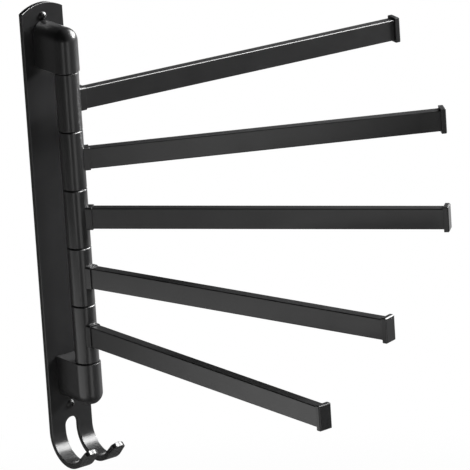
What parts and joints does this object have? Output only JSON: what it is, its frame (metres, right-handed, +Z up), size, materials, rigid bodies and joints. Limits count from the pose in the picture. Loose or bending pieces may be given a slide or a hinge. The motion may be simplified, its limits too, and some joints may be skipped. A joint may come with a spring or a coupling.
{
  "type": "swing arm towel bar",
  "caption": "Wall plate with a column of stacked sleeves, each carrying a flat bar that swings sideways, over a hook bent from the plate's lower end.",
  "frame": {"origin": "on the wall plane, at the middle of the plate's width, halfway between the two wall screws", "axes": "+Z up along the plate, +Y into the wall, so the arms reach out towards -Y, and +X to the right as seen from the room"},
  "size_m": [0.3706, 0.4078, 0.444],
  "materials": {
    "black_aluminium": "satin black coating",
    "black_plastic": "moulded, satin black",
    "bush_nylon": "plain dark grey nylon",
    "steel": "turned, bare",
    "black_steel": "blackened, satin"
  },
  "bodies": {
    "rack": {"wall_plate": "black_aluminium", "upper_bracket": "black_aluminium", "lower_bracket": "black_aluminium", "shaft": "steel", "plug_screw": "black_steel", "bracket_screws": "steel", "wall_screws": "black_steel"},
    "arm_1": {"sleeve_1": "black_aluminium", "bushes_1": "bush_nylon", "bar_1": "black_aluminium", "end_cap_1": "black_plastic", "bar_screw_1": "black_steel"},
    "arm_2": {"sleeve_2": "black_aluminium", "bushes_2": "bush_nylon", "bar_2": "black_aluminium", "end_cap_2": "black_plastic", "bar_screw_2": "black_steel"},
    "arm_3": {"sleeve_3": "black_aluminium", "bushes_3": "bush_nylon", "bar_3": "black_aluminium", "end_cap_3": "black_plastic", "bar_screw_3": "black_steel"},
    "arm_4": {"sleeve_4": "black_aluminium", "bushes_4": "bush_nylon", "bar_4": "black_aluminium", "end_cap_4": "black_plastic", "bar_screw_4": "black_steel"},
    "arm_5": {"sleeve_5": "black_aluminium", "bushes_5": "bush_nylon", "bar_5": "black_aluminium", "end_cap_5": "black_plastic", "bar_screw_5": "black_steel"}
  },
  "joints": [
    {"name": "arm_1_swing", "type": "hinge", "parent": "rack", "child": "arm_1", "pos_m": [0, -0.0383, 0], "axis": [0, 0, 1], "range_deg": [-173, 7]},
    {"name": "arm_2_swing", "type": "hinge", "parent": "rack", "child": "arm_2", "pos_m": [0, -0.0383, 0], "axis": [0, 0, 1], "range_deg": [-153, 27]},
    {"name": "arm_3_swing", "type": "hinge", "parent": "rack", "child": "arm_3", "pos_m": [0, -0.0383, 0], "axis": [0, 0, 1], "range_deg": [-133, 47]},
    {"name": "arm_4_swing", "type": "hinge", "parent": "rack", "child": "arm_4", "pos_m": [0, -0.0383, 0], "axis": [0, 0, 1], "range_deg": [-108, 72]},
    {"name": "arm_5_swing", "type": "hinge", "parent": "rack", "child": "arm_5", "pos_m": [0, -0.0383, 0], "axis": [0, 0, 1], "range_deg": [-93, 87]}
  ]
}
